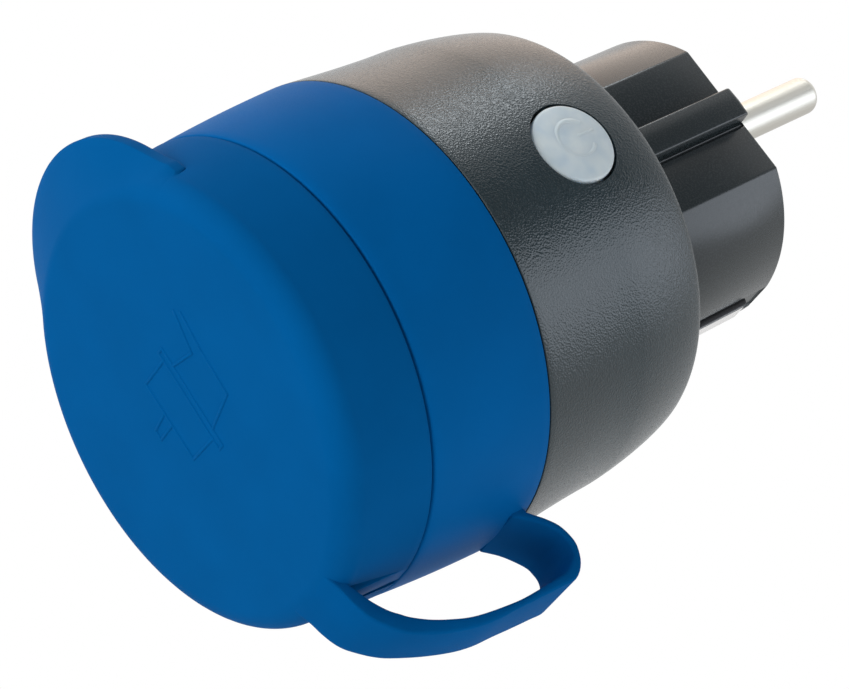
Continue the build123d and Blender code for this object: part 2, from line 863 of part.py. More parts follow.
build_all()
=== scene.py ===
# %% [markdown]
# # An outdoor switched plug, dressed for the camera
# The object is a round adapter: a dark body with a mains plug on one end and, on the other, a blue
# ring and a soft blue lid held by a strap. The solid model arrives as a fixed frame, in metres, with
# its origin in the middle of the plug's face, +Y towards the wall, +Z up and +X at the button's side.
# Everything that shows is remade here with finer edges, and the hidden pieces keep their solids.

# %% Load the frame
import math
import bmesh
import bpy
from mathutils import Matrix, Vector


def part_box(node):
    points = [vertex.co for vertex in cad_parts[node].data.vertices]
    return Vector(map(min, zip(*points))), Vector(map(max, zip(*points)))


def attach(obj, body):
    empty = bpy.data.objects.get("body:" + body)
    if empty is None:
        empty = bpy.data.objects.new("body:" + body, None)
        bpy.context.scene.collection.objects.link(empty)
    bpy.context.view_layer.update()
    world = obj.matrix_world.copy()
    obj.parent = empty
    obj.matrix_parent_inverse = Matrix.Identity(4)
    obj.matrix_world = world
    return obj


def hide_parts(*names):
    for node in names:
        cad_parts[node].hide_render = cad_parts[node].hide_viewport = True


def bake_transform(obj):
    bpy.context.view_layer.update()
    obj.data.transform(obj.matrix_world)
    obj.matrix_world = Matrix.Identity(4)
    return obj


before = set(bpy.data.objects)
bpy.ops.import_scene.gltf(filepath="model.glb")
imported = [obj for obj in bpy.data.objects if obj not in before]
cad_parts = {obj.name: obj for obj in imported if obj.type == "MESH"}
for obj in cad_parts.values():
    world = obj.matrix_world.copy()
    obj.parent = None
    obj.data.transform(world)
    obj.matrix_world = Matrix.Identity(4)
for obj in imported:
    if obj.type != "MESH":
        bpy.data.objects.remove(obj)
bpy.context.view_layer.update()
scene = bpy.context.scene
scene.view_settings.view_transform = "Standard"

# %% [markdown]
# ## Camera
# The viewpoint was worked out from the plug's standard sizes: the camera stands a little below the
# object, in front of it and to its right, and looks up. Its three axes are written as directions in
# the frame, so the camera can be checked against the photograph edge by edge.

# %% Place the camera
SENSOR_MM = 36.0
FOCAL_PIXELS = 2800.0
IMAGE_WIDTH = 849
camera_place = Vector((0.25005, -0.24016, -0.07945))
camera_right = Vector((0.38967, 0.72410, -0.56876))
camera_up = Vector((0.50391, 0.34919, 0.78980))
camera_back = Vector((0.77077, -0.59458, -0.22890))

camera = bpy.data.objects.new("camera", bpy.data.cameras.new("camera"))
scene.collection.objects.link(camera)
camera.data.sensor_width = SENSOR_MM
camera.data.lens = FOCAL_PIXELS / IMAGE_WIDTH * SENSOR_MM
camera.data.clip_start = 0.01
camera.data.clip_end = 100.0
turn = Matrix((camera_right, camera_up, camera_back)).transposed().to_4x4()
camera.matrix_world = Matrix.Translation(camera_place) @ turn
scene.camera = camera
print("lens in mm:", round(camera.data.lens, 2))

# %% [markdown]
# ## Light
# The photograph is a product shot: soft light from the front and above, a little from the button's
# side, and a warm glow from behind that only grazes the top. Large area lamps give the soft edges.
# One lamp below shows in reflections alone and draws the plug's lower curve; a wide one beside it
# fills the shadows without a glint of its own. The powers come from renders with one lamp at a time,
# corrected against the photograph.

# %% Lamps
MM = 0.001


def add_lamp(name, place, aim, size, power, colour=(1.0, 1.0, 1.0)):
    """Square area lamp that points from its place to its aim, all in millimetres."""
    data = bpy.data.lights.new(name, "AREA")
    data.shape = "SQUARE"
    data.size = size * MM
    data.energy = power
    data.color = colour
    lamp = bpy.data.objects.new(name, data)
    scene.collection.objects.link(lamp)
    lamp.location = Vector(place) * MM
    lamp.rotation_euler = (Vector(aim) * MM - lamp.location).to_track_quat("-Z", "Y").to_euler()
    lamp.visible_camera = False
    print("lamp", name, "power", power)
    return lamp


add_lamp("top_light", (60, -160, 420), (0, -45, 0), 320, 0.56)
add_lamp("front_light", (80, -420, 170), (0, -50, 0), 300, 1.25)
add_lamp("side_light", (420, -120, 60), (0, -45, 0), 220, 0.14)
add_lamp("warm_light", (-50, 270, 330), (0, -20, 0), 300, 0.22, (1.0, 0.66, 0.42))
add_lamp("back_light", (190, 250, 285), (0, -20, 0), 100, 0.22, (0.90, 0.96, 1.0))
under_light = add_lamp("under_light", (210, 210, -270), (0, -10, 0), 400, 1.1, (0.80, 0.88, 1.0))
under_light.visible_diffuse = False
fill_light = add_lamp("fill_light", (0, -45, -285), (0, -45, 0), 800, 1.05)
fill_light.visible_glossy = False

# %% [markdown]
# ## World and floor
# The background is white, but white light from all round would bleach the object. A Light Path node
# tells the rays apart: the world is white to rays from the camera, a reflection or clear plastic, and
# dim to those that light a surface. The floor works the same way, and it glows for the camera alone,
# so it looks pale without lighting the object and still takes its shadow.

# %% World
ROOM_STRENGTH = 0.265
WHITE = (1.0, 1.0, 1.0, 1.0)


def set_inputs(node, **values):
    """Sets a node's inputs by name, with _ for a space."""
    for name, value in values.items():
        node.inputs[name.replace("_", " ")].default_value = value


def add_node(nodes, kind, **values):
    """New shader node with its inputs set."""
    node = nodes.new("ShaderNode" + kind)
    set_inputs(node, **values)
    return node


def larger_of(nodes, links, first, second):
    """Output of a Math node that gives the larger of two values."""
    larger = add_node(nodes, "Math")
    larger.operation = "MAXIMUM"
    links.new(first, larger.inputs[0])
    links.new(second, larger.inputs[1])
    return larger.outputs[0]


world = bpy.data.worlds.new("studio")
scene.world = world
world.use_nodes = True
nodes, links = world.node_tree.nodes, world.node_tree.links
nodes.clear()
output = add_node(nodes, "OutputWorld")
rays = add_node(nodes, "LightPath").outputs
bounced = larger_of(nodes, links, rays["Is Glossy Ray"], rays["Is Transmission Ray"])
seen = larger_of(nodes, links, rays["Is Camera Ray"], bounced)
mix = add_node(nodes, "MixShader")
links.new(seen, mix.inputs[0])
for slot_number, strength in ((1, ROOM_STRENGTH), (2, 1.0)):
    shine = add_node(nodes, "Background", Color=WHITE, Strength=strength)
    links.new(shine.outputs[0], mix.inputs[slot_number])
links.new(mix.outputs[0], output.inputs["Surface"])
print("room strength", ROOM_STRENGTH)

# %% Floor
FLOOR_DROP = 300.0
FLOOR_METRES = 40.0
FLOOR_GLOW = 0.3
FLOOR_REFLECTED = 0.78
MATT = 0.9


def new_material(name):
    """Empty node material with its shader, node list and link list."""
    made = bpy.data.materials.new(name)
    made.use_nodes = True
    tree = made.node_tree
    return made, tree.nodes["Principled BSDF"], tree.nodes, tree.links


def mesh_object(bm, name, material):
    """Turns a bmesh into an object of one material and puts it in the scene."""
    mesh = bpy.data.meshes.new(name)
    bm.to_mesh(mesh)
    bm.free()
    mesh.materials.append(material)
    made = bpy.data.objects.new(name, mesh)
    scene.collection.objects.link(made)
    return made


floor_paint, paper, nodes, links = new_material("floor_paint")
set_inputs(paper, Base_Color=(0.86, 0.86, 0.86, 1.0), Roughness=MATT, Emission_Color=WHITE)
rays = add_node(nodes, "LightPath").outputs
glow = add_node(nodes, "Math")
glow.operation = "MULTIPLY"
glow.inputs[1].default_value = FLOOR_GLOW
links.new(rays["Is Camera Ray"], glow.inputs[0])
links.new(glow.outputs[0], paper.inputs["Emission Strength"])
bounced = larger_of(nodes, links, rays["Is Glossy Ray"], rays["Is Transmission Ray"])
reflected = add_node(nodes, "Emission", Strength=FLOOR_REFLECTED)
mix = add_node(nodes, "MixShader")
links.new(bounced, mix.inputs[0])
links.new(paper.outputs["BSDF"], mix.inputs[1])
links.new(reflected.outputs["Emission"], mix.inputs[2])
links.new(mix.outputs["Shader"], nodes["Material Output"].inputs["Surface"])

bm = bmesh.new()
bmesh.ops.create_grid(bm, x_segments=2, y_segments=2, size=FLOOR_METRES)
bmesh.ops.translate(bm, verts=bm.verts, vec=(0, 0, -FLOOR_DROP * MM))
floor = mesh_object(bm, "floor", floor_paint)
print("floor at z mm:", -FLOOR_DROP)

# %% [markdown]
# ## A dark card for the reflections
# White surroundings flatten dark plastic. A photographer puts a black card where only the reflection
# sees it, and this one stands behind the plug on the button's side: it draws the dark zone round the
# button and keeps the plug's flats deep. It glows faintly, so that the metal pin doesn't turn black
# too. It is hidden from the camera and casts no shadow.

# %% Dark card
CARD_WIDTH, CARD_HEIGHT = 260.0, 230.0
CARD_GLOW = 0.2
card_place = Vector((300, 200, 20))
card_aim = Vector((20, -25, 0))
card_black, card_paint, nodes, links = new_material("card_black")
set_inputs(
    card_paint, Base_Color=(0.012, 0.014, 0.014, 1.0), Roughness=MATT,
    Emission_Color=(0.9, 0.95, 1.0, 1.0), Emission_Strength=CARD_GLOW,
)
bm = bmesh.new()
bmesh.ops.create_grid(bm, x_segments=1, y_segments=1, size=0.5)
bmesh.ops.scale(bm, verts=bm.verts, vec=(CARD_WIDTH * MM, CARD_HEIGHT * MM, 1.0))
card_turn = (card_aim - card_place).to_track_quat("Z", "Y").to_matrix().to_4x4()
bmesh.ops.transform(bm, verts=bm.verts, matrix=Matrix.Translation(card_place * MM) @ card_turn)
card = mesh_object(bm, "dark_card", card_black)
card.visible_camera = False
card.visible_diffuse = False
card.visible_shadow = False
card.visible_transmission = False
print("dark card at mm:", tuple(card_place))

# %% [markdown]
# ## Moulded plastic
# All the plastics here share one recipe: a colour that wanders very slightly, a roughness that
# wanders too, and a fine bump for the moulded grain. The textures read Object coordinates, because
# those have no seams and a scale in real metres: a grain of 0.4 mm is a scale of 1 / 0.0004. The
# housing's mould was roughened, and its grain glints: its bump is a field of round Voronoi pebbles,
# where plain noise would look like worms. The lid's is so fine that it only softens the highlight.

# %% Helpers for texture nodes


def noise_node(nodes, links, size_mm, detail=2.0):
    """Noise texture on Object coordinates whose blobs are about size_mm wide."""
    place = add_node(nodes, "TexCoord")
    noise = add_node(nodes, "TexNoise", Scale=1.0 / (size_mm * MM), Detail=detail)
    links.new(place.outputs["Object"], noise.inputs["Vector"])
    return noise


def ramp_into(nodes, links, source, low, high, target):
    """Leads a 0 to 1 value into a shader's input as a ramp from low to high over its middle part."""
    ramp = add_node(nodes, "ValToRGB")
    for element, place, colour in zip(ramp.color_ramp.elements, (0.3, 0.7), (low, high)):
        element.position = place
        element.color = (*colour, 1.0)
    links.new(source, ramp.inputs["Fac"])
    links.new(ramp.outputs["Color"], target)


def bump_into(nodes, links, height, strength, depth_mm, shader):
    """Leads a height into a shader's normal as a bump whose depth is in millimetres."""
    bump = add_node(nodes, "Bump", Strength=strength, Distance=depth_mm * MM)
    links.new(height, bump.inputs["Height"])
    links.new(bump.outputs["Normal"], shader.inputs["Normal"])


def pebble_node(nodes, links, size_mm):
    """Voronoi texture on Object coordinates: small round pebbles about size_mm apart."""
    place = add_node(nodes, "TexCoord")
    pebbles = nodes.new("ShaderNodeTexVoronoi")
    pebbles.feature = "SMOOTH_F1"
    set_inputs(pebbles, Scale=1.0 / (size_mm * MM), Smoothness=0.5)
    links.new(place.outputs["Object"], pebbles.inputs["Vector"])
    return pebbles


# %% Moulded plastics
DRIFT_MM = 9.0
GLOSS_DRIFT = 0.06


def plastic(
    name, colour, grain_mm, grain_depth_mm, roughness,
    spread=0.06, shine=0.5, shine_tint=None, pebbled=False,
):
    """Moulded plastic with a grain bump, a slight colour drift and a roughness drift."""
    made, shader, nodes, links = new_material(name)
    drift = noise_node(nodes, links, DRIFT_MM, 3.0)
    darker = [c * (1 - spread) for c in colour]
    lighter = [c * (1 + spread) for c in colour]
    ramp_into(nodes, links, drift.outputs["Fac"], darker, lighter, shader.inputs["Base Color"])
    grain = noise_node(nodes, links, grain_mm, 1.5)
    low = [roughness - GLOSS_DRIFT] * 3
    high = [roughness + GLOSS_DRIFT] * 3
    ramp_into(nodes, links, grain.outputs["Fac"], low, high, shader.inputs["Roughness"])
    height = grain.outputs["Fac"]
    if pebbled:
        height = pebble_node(nodes, links, grain_mm).outputs["Distance"]
    bump_into(nodes, links, height, 1.0, grain_depth_mm, shader)
    set_inputs(shader, Specular_IOR_Level=shine)
    if shine_tint:
        set_inputs(shader, Specular_Tint=(*shine_tint, 1.0))
    print("material", name)
    return made


BLUE_GLINT = (0.10, 0.55, 1.0)
housing_plastic = plastic(
    "housing_plastic", (0.014, 0.029, 0.037), 0.23, 0.037, 0.24, 0.08, 0.46, pebbled=True,
)
insert_plastic = plastic("insert_plastic", (0.019, 0.027, 0.031), 0.22, 0.004, 0.26, 0.05, 0.43)
collar_blue = plastic("collar_blue", (0.0006, 0.106, 0.345), 0.16, 0.008, 0.46, 0.04, 0.02, BLUE_GLINT)
lid_blue = plastic("lid_blue", (0.0006, 0.090, 0.288), 0.14, 0.008, 0.55, 0.04, 0.012, BLUE_GLINT)
strap_blue = plastic("strap_blue", (0.0006, 0.088, 0.285), 0.14, 0.008, 0.55, 0.04, 0.010, BLUE_GLINT)
cup_plastic = plastic("cup_plastic", (0.018, 0.020, 0.021), 0.2, 0.006, 0.36)
carrier_plastic = plastic("carrier_plastic", (0.62, 0.61, 0.57), 0.2, 0.004, 0.42)
component_plastic = plastic("component_plastic", (0.02, 0.02, 0.022), 0.3, 0.006, 0.38)
seal_rubber = plastic("seal_rubber", (0.015, 0.015, 0.016), 0.18, 0.006, 0.62)
varistor_coat = plastic("varistor_coat", (0.03, 0.09, 0.35), 0.6, 0.02, 0.25)
fuse_glaze = plastic("fuse_glaze", (0.72, 0.69, 0.62), 0.8, 0.003, 0.2)

# %% [markdown]
# ## Metals
# The pins are satin nickel, which is never quite even: a noise moves the colour and the roughness a
# little, and a Mapping node with a small Y scale stretches it into faint lines along the pin. Brass,
# tin, steel and the earth strips' near-black bars use the same recipe, with their own colour and a
# fine bump. The bars' near-black is painted shade for the strip's side in shadow.

# %% Metal materials


def drawn_metal(name, colour, roughness, line_mm=0.12, depth_mm=0.0015, stretch=0.02):
    """Metal with fine lines drawn along Y."""
    made, shader, nodes, links = new_material(name)
    place = add_node(nodes, "TexCoord")
    shaped = add_node(nodes, "Mapping", Scale=(1.0, stretch, 1.0))
    lines = add_node(nodes, "TexNoise", Scale=1.0 / (line_mm * MM), Detail=2.0)
    links.new(place.outputs["Object"], shaped.inputs["Vector"])
    links.new(shaped.outputs["Vector"], lines.inputs["Vector"])
    drawn = lines.outputs["Fac"]
    ramp_into(nodes, links, drawn, [c * 0.9 for c in colour], colour, shader.inputs["Base Color"])
    low = [roughness - 0.05] * 3
    high = [roughness + 0.08] * 3
    ramp_into(nodes, links, drawn, low, high, shader.inputs["Roughness"])
    bump_into(nodes, links, drawn, 0.6, depth_mm, shader)
    set_inputs(shader, Metallic=1.0)
    print("material", name)
    return made


nickel = drawn_metal("nickel", (0.67, 0.65, 0.59), 0.42, 0.5, 0.0, 0.004)
plate_nickel = drawn_metal("plate_nickel", (0.97, 0.96, 0.95), 0.18, 0.3, 0.0003, 0.008)
# The near-black of this metal is painted shade: it stands for the earth strip's side in shadow.
dark_contact = drawn_metal("dark_contact", (0.05, 0.05, 0.052), 0.38)
brass = drawn_metal("brass", (0.72, 0.50, 0.22), 0.28)
tin = drawn_metal("tin", (0.62, 0.62, 0.62), 0.3)
aluminium = drawn_metal("aluminium", (0.80, 0.80, 0.82), 0.3)
screw_steel = drawn_metal("screw_steel", (0.42, 0.42, 0.43), 0.32)

# %% [markdown]
# ## Board lacquer, lamp lens and the milky button
# The circuit boards are green lacquer over copper: a brick pattern of fine lines stands for the tracks.
# The button is a milky, faintly blue plastic that light enters, so it gets some subsurface scattering
# and a smooth satin top; its mark is a shade paler.

# %% Special materials
board_green, shader, nodes, links = new_material("board_green")
place = add_node(nodes, "TexCoord")
tracks = add_node(
    nodes, "TexBrick", Scale=260.0, Mortar_Size=0.03, Color1=(0.012, 0.13, 0.05, 1.0),
    Color2=(0.014, 0.15, 0.06, 1.0), Mortar=(0.03, 0.26, 0.10, 1.0),
)
turned_place = add_node(nodes, "Mapping", Rotation=(math.pi / 2, 0.0, 0.0))
links.new(place.outputs["Object"], turned_place.inputs["Vector"])
links.new(turned_place.outputs["Vector"], tracks.inputs["Vector"])
links.new(tracks.outputs["Color"], shader.inputs["Base Color"])
set_inputs(shader, Roughness=0.3)


def milky(name, low, high):
    """Cloudy plastic that light enters a little way."""
    made, shader, nodes, links = new_material(name)
    cloud = noise_node(nodes, links, 2.6, 2.0)
    ramp_into(nodes, links, cloud.outputs["Fac"], low, high, shader.inputs["Base Color"])
    set_inputs(
        shader, Subsurface_Weight=0.35, Subsurface_Radius=(0.0012, 0.0014, 0.0016),
        Subsurface_Scale=1.0, Roughness=0.34,
    )
    return made


button_milk = milky("button_milk", (0.55, 0.67, 0.76), (0.70, 0.79, 0.83))
mark_milk = milky("mark_milk", (0.66, 0.79, 0.87), (0.70, 0.82, 0.89))

lamp_lens, shader, nodes, links = new_material("lamp_lens")
haze = noise_node(nodes, links, 0.4, 1.0)
lens_low, lens_high = (0.62, 0.72, 0.86), (0.75, 0.84, 0.96)
ramp_into(nodes, links, haze.outputs["Fac"], lens_low, lens_high, shader.inputs["Base Color"])
set_inputs(shader, Roughness=0.15)
print("special materials: board_green, button_milk, mark_milk, lamp_lens")

# %% [markdown]
# ## Dress the hidden solids
# The inside of the adapter only shows when the lid is open or the body is taken apart. Its solids
# already have the right shape, so each keeps it and takes one of the materials above.

# %% Assign materials to the kept solids
kept_finishes = (
    (brass, "earth_bridge socket_earth_clips live_sleeve neutral_sleeve live_busbar neutral_busbar"),
    (seal_rubber, "insert_seal housing_seal button_gasket lid_seal"),
    (carrier_plastic, "contact_carrier shutter"),
    (board_green, "main_board radio_module button_board"),
    (component_plastic, "relay transformer switch_body switch_plunger"),
    (aluminium, "capacitors"),
    (varistor_coat, "varistor"),
    (fuse_glaze, "fuse"),
    (tin, "radio_shield"),
    (lamp_lens, "status_leds"),
    (screw_steel, "housing_screws"),
    (cup_plastic, "socket_cup"),
)
for finish, node_names in kept_finishes:
    for node_name in node_names.split():
        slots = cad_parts[node_name].data.materials
        slots.clear()
        slots.append(finish)
    print(finish.name, "on", node_names)

# %% [markdown]
# ## Tools for turned and bevelled pieces
# Most of the body is turned: a profile of radius against distance, spun round the long axis. Sharp
# corners of a profile are bevelled afterwards, ring by ring, because moulded plastic never ends in a
# knife edge and the small round edges are what catch the light.

# %% Helpers for meshes
FULL_TURN = 2 * math.pi
SHARP_ANGLE = math.radians(38)


def profile_edges(bm, points, closed):
    """Chain of edges through (radius, y) points in millimetres, on the X side of the long axis."""
    made = [bm.verts.new((radius * MM, y * MM, 0.0)) for radius, y in points]
    pairs = list(zip(made, made[1:]))
    if closed:
        pairs.append((made[-1], made[0]))
    edges = [bm.edges.new(pair) for pair in pairs]
    return made + edges


def turned(points, closed=True, steps=192):
    """Mesh turned about the long axis from a (radius, y) profile."""
    bm = bmesh.new()
    outline = profile_edges(bm, points, closed)
    bmesh.ops.spin(
        bm, geom=outline, cent=(0, 0, 0), axis=(0, 1, 0), angle=FULL_TURN, steps=steps, use_merge=True,
    )
    close_up(bm)
    return bm


def face_out(bm):
    """Turns every face outwards."""
    bmesh.ops.recalc_face_normals(bm, faces=bm.faces)


def close_up(bm):
    """Merges points that lie on each other, then turns every face outwards."""
    bmesh.ops.remove_doubles(bm, verts=bm.verts, dist=1e-7)
    face_out(bm)


def drawn_verts(extruded):
    """The new vertices of an extrusion."""
    return [item for item in extruded["geom"] if isinstance(item, bmesh.types.BMVert)]


def ring_edges(bm, radius, y, tolerance=0.02):
    """The edges of the ring at one profile corner."""
    def on_ring(vert):
        near = abs(math.hypot(vert.co.x, vert.co.z) / MM - radius) < tolerance
        return near and abs(vert.co.y / MM - y) < tolerance
    return [edge for edge in bm.edges if on_ring(edge.verts[0]) and on_ring(edge.verts[1])]


def round_edges(bm, edges, width_mm, segments=3):
    """Rounds edges to a small radius."""
    bmesh.ops.bevel(
        bm, geom=edges, offset=width_mm * MM, offset_type="OFFSET", affect="EDGES",
        segments=segments, profile=0.5, material=-1,
    )


def sharp_edges(bm, degrees):
    """Edges whose two faces meet at more than an angle."""
    limit = math.radians(degrees)
    return [edge for edge in bm.edges if len(edge.link_faces) == 2 and edge.calc_face_angle() > limit]


def make_piece(bm, name, material):
    """Turns a bmesh into a piece with smooth faces and sharp corners kept."""
    piece = mesh_object(bm, name, material)
    for face in piece.data.polygons:
        face.use_smooth = True
    piece.data.set_sharp_from_angle(angle=SHARP_ANGLE)
    return piece


def seat(piece, body, slot, *replaced):
    """Fixes a finished piece to its body and hides the solids it stands for; slot is not used."""
    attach(piece, body)
    if replaced:
        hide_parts(*replaced)
    print(piece.name, "faces", len(piece.data.polygons))
    return piece


def cut_away(piece, cutter_mesh):
    """Cuts a closed bmesh out of a piece and keeps the result as plain mesh."""
    mesh = bpy.data.meshes.new("cutter")
    cutter_mesh.to_mesh(mesh)
    cutter_mesh.free()
    cutter = bpy.data.objects.new("cutter", mesh)
    scene.collection.objects.link(cutter)
    cut = piece.modifiers.new("cut", "BOOLEAN")
    cut.operation = "DIFFERENCE"
    cut.solver = "EXACT"
    cut.object = cutter
    bpy.context.view_layer.update()
    graph = bpy.context.evaluated_depsgraph_get()
    result = bpy.data.meshes.new_from_object(piece.evaluated_get(graph))
    piece.modifiers.clear()
    piece.data = result
    bpy.data.objects.remove(cutter)
    result.set_sharp_from_angle(angle=SHARP_ANGLE)


def cylinder_along(axis, centre, radius_mm, length_mm, sides=96):
    """Closed cylinder whose axis is X or Y, centred at a point in millimetres."""
    bm = bmesh.new()
    turn = Matrix.Rotation(math.pi / 2, 4, "Y" if axis == "X" else "X")
    place = Matrix.Translation(Vector(centre) * MM) @ turn
    bmesh.ops.create_cone(
        bm, cap_ends=True, segments=sides, radius1=radius_mm * MM, radius2=radius_mm * MM,
        depth=length_mm * MM, matrix=place,
    )
    return bm


# %% [markdown]
# ## Main sizes
# The sizes come from the frame's own boxes where a solid gives them directly, so that this script
# follows the model. The few that no box shows, such as the shoulder's curve, are named here.

# %% Read the frame's sizes
def box_mm(node):
    """Lowest and highest corner of a solid, in millimetres."""
    low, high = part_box(node)
    return low / MM, high / MM


housing_low, housing_high = box_mm("rear_housing")
collar_low = box_mm("front_collar")[0]
lid_high = box_mm("lid")[1]
RIM_Y = housing_high.y
SEAM_Y = housing_low.y
SEAM_RADIUS = housing_high.x
SPIGOT_FRONT_Y = collar_low.y
RING_FRONT_Y = lid_high.y + 0.3
LID_FACE_Y = box_mm("lid_seal")[0].y - 2.0
SHOULDER_LENGTH = 11.7
SHOULDER_Y = RIM_Y - SHOULDER_LENGTH
BARREL_TAPER = 0.7
SHOULDER_RADIUS = SEAM_RADIUS - BARREL_TAPER
SHOULDER_DROP = 1.9
SHOULDER_POWER = 1.42
RING_FRONT_RADIUS = SEAM_RADIUS - 1.2
LID_EDGE_RADIUS = RING_FRONT_RADIUS - 0.9
print("seam radius", round(SEAM_RADIUS, 2), "lid face y", round(LID_FACE_Y, 2))

# %% [markdown]
# ## Rear housing
# The dark shell is a short barrel: a flat back with a crisp rim, a soft shoulder that swells from the
# rim, then a straight taper to the joint with the blue ring. The shoulder follows a superellipse, a
# formula that sits between a round and a chamfer and fits the photograph's outline. The button's hole
# and the three screw wells are cut afterwards, because a hole across a turned wall can't be spun.
# The shell stops a sixth of a millimetre short of the ring: that slit draws the dark seam line.

# %% Build the rear housing
SHELL = 2.4
SEAM_GAP = 0.16
SEAM_ROUND = 0.12
RIM_ROUND = 0.4
RIM_CLEAR = 0.6
FRONT_EDGE_Y = SEAM_Y + SEAM_GAP
shoulder_steps = 22
shoulder = []
for index in range(shoulder_steps + 1):
    angle = math.pi / 2 * index / shoulder_steps
    along = math.sin(angle) ** (2 / SHOULDER_POWER)
    across = math.cos(angle) ** (2 / SHOULDER_POWER)
    radius = SHOULDER_RADIUS - SHOULDER_DROP * (1 - across)
    shoulder.append((radius, SHOULDER_Y + SHOULDER_LENGTH * along))
# The rim's round needs room, so the curve's last crowded points before the rim are left out.
shoulder = [point for point in shoulder if point[1] < RIM_Y - RIM_CLEAR] + [shoulder[-1]]
taper_steps = 14
taper = []
for index in range(taper_steps, 0, -1):
    share = index / taper_steps
    eased = share * share * (1.6 - 0.6 * share)
    y = SHOULDER_Y + (FRONT_EDGE_Y - SHOULDER_Y) * share
    taper.append((SHOULDER_RADIUS + BARREL_TAPER * eased, y))
RIM_RADIUS = shoulder[-1][0]
housing_profile = taper + shoulder + [
    (0.0, RIM_Y),
    (0.0, RIM_Y - SHELL),
    (RIM_RADIUS - SHELL, RIM_Y - SHELL),
    (SHOULDER_RADIUS - SHELL, SHOULDER_Y),
    (SEAM_RADIUS - SHELL, FRONT_EDGE_Y),
]
bm = turned(housing_profile, steps=256)
round_edges(bm, ring_edges(bm, RIM_RADIUS, RIM_Y), RIM_ROUND, 7)
round_edges(bm, ring_edges(bm, SEAM_RADIUS, FRONT_EDGE_Y), SEAM_ROUND)
housing = make_piece(bm, "housing_shell", housing_plastic)
print("rim radius", round(RIM_RADIUS, 2), "shell", SHELL)

# %% Cut the button's hole and the screw wells
BUTTON_FLANGE = 1.0
BUTTON_CLEARANCE = 0.35
WELL_RADIUS = 2.35
WELL_DEPTH = 2.3
button_low, button_high = box_mm("power_button")
BUTTON_Y = (button_low.y + button_high.y) / 2
BUTTON_RADIUS = (button_high.y - button_low.y) / 2 - BUTTON_FLANGE
BUTTON_TOP_X = button_high.x
hole_radius = BUTTON_RADIUS + BUTTON_CLEARANCE
cut_away(housing, cylinder_along("X", (SHOULDER_RADIUS, BUTTON_Y, 0), hole_radius, 14))
screw_circle = RIM_RADIUS - 3.1
for index in range(3):
    angle = math.radians(60 + 120 * index)
    x = screw_circle * math.cos(angle)
    z = screw_circle * math.sin(angle)
    cut_away(housing, cylinder_along("Y", (x, RIM_Y, z), WELL_RADIUS, 2 * WELL_DEPTH, 48))
seat(housing, "housing", "housing_plastic", "rear_housing")

# %% [markdown]
# ## Blue ring with its spigot
# The ring carries on the body's line with a slight bulge and ends at the lid's seam. Inside it a
# thin tube, the spigot, stands forward: the lid closes over it, and it shows as soon as the lid opens.

# %% Build the collar
RING_BULGE = 0.65
RING_BORE = 24.6
STEP_DEPTH = 2.2
bulge_steps = 12
ring_side = []
for index in range(bulge_steps + 1):
    share = index / bulge_steps
    radius = SEAM_RADIUS + (RING_FRONT_RADIUS - SEAM_RADIUS) * share
    radius += RING_BULGE * share * (1 - share)
    ring_side.append((radius, SEAM_Y + (RING_FRONT_Y - SEAM_Y) * share))
SPIGOT_RADIUS = 24.2
SPIGOT_BORE = 22.0
ring_profile = ring_side + [
    (SPIGOT_RADIUS, RING_FRONT_Y),
    (SPIGOT_RADIUS, SPIGOT_FRONT_Y),
    (SPIGOT_BORE, SPIGOT_FRONT_Y),
    (SPIGOT_BORE, RING_FRONT_Y + STEP_DEPTH),
    (RING_BORE, RING_FRONT_Y + STEP_DEPTH),
    (RING_BORE, SEAM_Y),
]
bm = turned(ring_profile, steps=256)
for radius, y, width in (
    (SEAM_RADIUS, SEAM_Y, SEAM_ROUND), (RING_FRONT_RADIUS, RING_FRONT_Y, 0.3),
    (SPIGOT_RADIUS, SPIGOT_FRONT_Y, 0.4), (SPIGOT_BORE, SPIGOT_FRONT_Y, 0.3),
):
    round_edges(bm, ring_edges(bm, radius, y), width)
collar = make_piece(bm, "blue_ring", collar_blue)
seat(collar, "housing", "collar_blue", "front_collar")

# %% [markdown]
# ## Tongue below the ring
# Under the strap the lid's skirt has a tapered cut-out, and a narrow tongue of the ring fills it. The
# tongue is one block whose lower face leans like the skirt, so that it looks like a part of it.

# %% Build the tongue
TONGUE_HALF = 1.45
TONGUE_FRONT_Y = LID_FACE_Y + 3.7
TONGUE_DEPTH = 3.2
TONGUE_LEAN = 0.55
bm = bmesh.new()
bmesh.ops.create_cube(bm, size=1.0)
tongue_length = RING_FRONT_Y + 0.6 - TONGUE_FRONT_Y
tongue_place = Vector((0, TONGUE_FRONT_Y + tongue_length / 2, -SPIGOT_RADIUS - 1.4)) * MM
bmesh.ops.scale(bm, verts=bm.verts, vec=(2 * TONGUE_HALF * MM, tongue_length * MM, TONGUE_DEPTH * MM))
bmesh.ops.translate(bm, verts=bm.verts, vec=tongue_place)
low_back = [v for v in bm.verts if v.co.z < tongue_place.z and v.co.y > tongue_place.y]
bmesh.ops.translate(bm, verts=low_back, vec=(0, 0, -TONGUE_LEAN * MM))
round_edges(bm, bm.edges[:], 0.2, 2)
tongue = make_piece(bm, "ring_tongue", collar_blue)
seat(tongue, "housing", "collar_blue")

# %% [markdown]
# ## Lid with its lifting tab
# The lid is turned too, but over 99 degrees at the top its edge grows into a tab. Rather than join a
# second piece, the tab is drawn out of the turned edge: every turned profile has the same number of
# points, and those inside the tab's angle slide to a second profile. That one follows the lid's round
# edge until a straight line can leave it without a crease, and runs to the tab's thin square rim.

